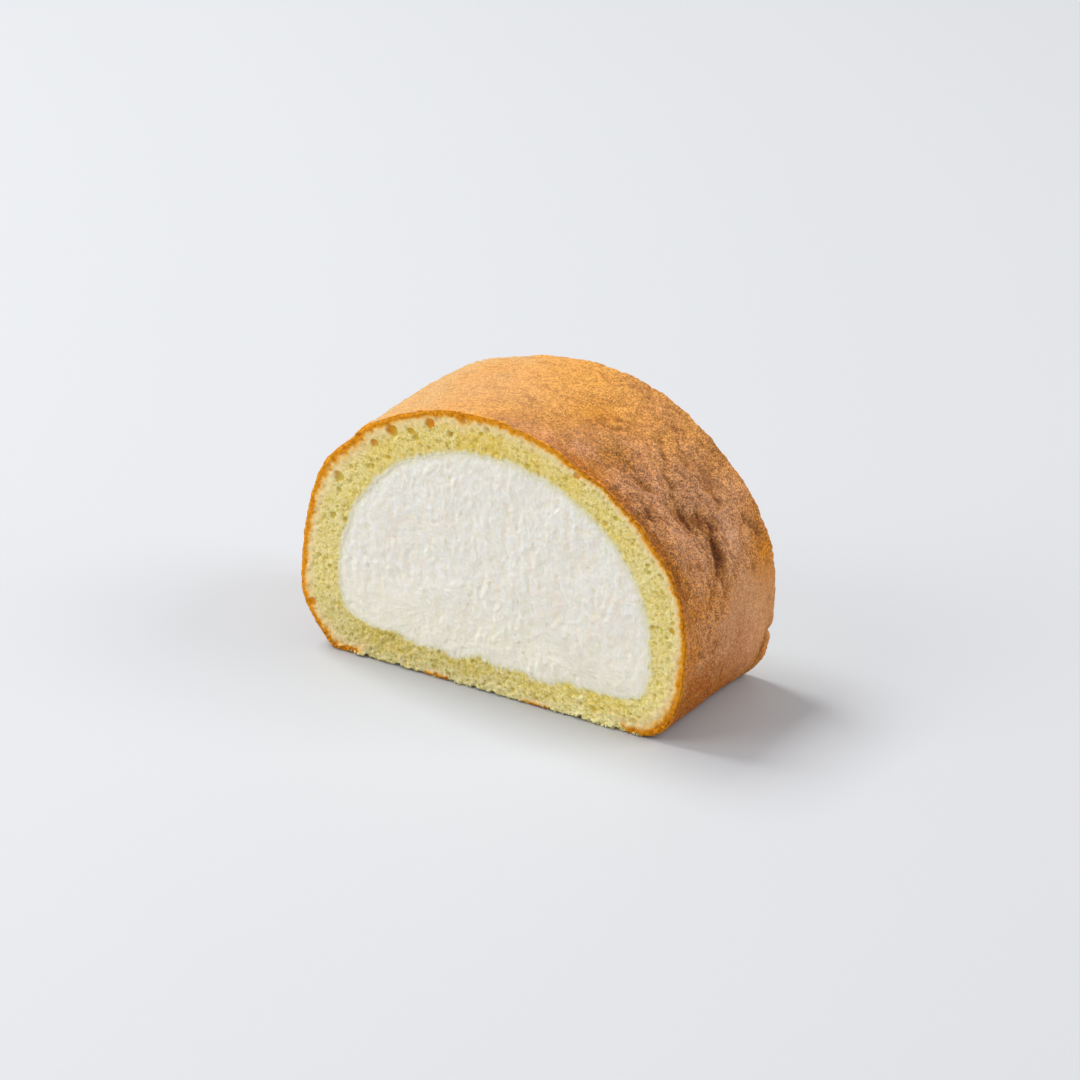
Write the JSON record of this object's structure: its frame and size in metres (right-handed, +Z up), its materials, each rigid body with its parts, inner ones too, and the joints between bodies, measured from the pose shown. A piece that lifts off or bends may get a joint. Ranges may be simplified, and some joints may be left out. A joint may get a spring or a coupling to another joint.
{
  "type": "slice of swiss roll cake",
  "caption": "D-shaped slice of swiss roll: a sheet of golden sponge with a browned skin, rolled round a core of whipped cream.",
  "frame": {"origin": "on the surface that the slice stands on, under the middle of its bounding box", "axes": "+X along the slice's width, to the right as the shown cut is seen; +Y along the roll, from the shown cut to the other one; +Z up"},
  "size_m": [0.092, 0.0354, 0.0609],
  "materials": {
    "sponge": "dry open crumb with a browned, finely wrinkled skin",
    "cream": "soft matt whipped cream, dragged by the knife"
  },
  "bodies": {
    "root": {"sponge": "sponge", "cream": "cream"}
  },
  "joints": []
}
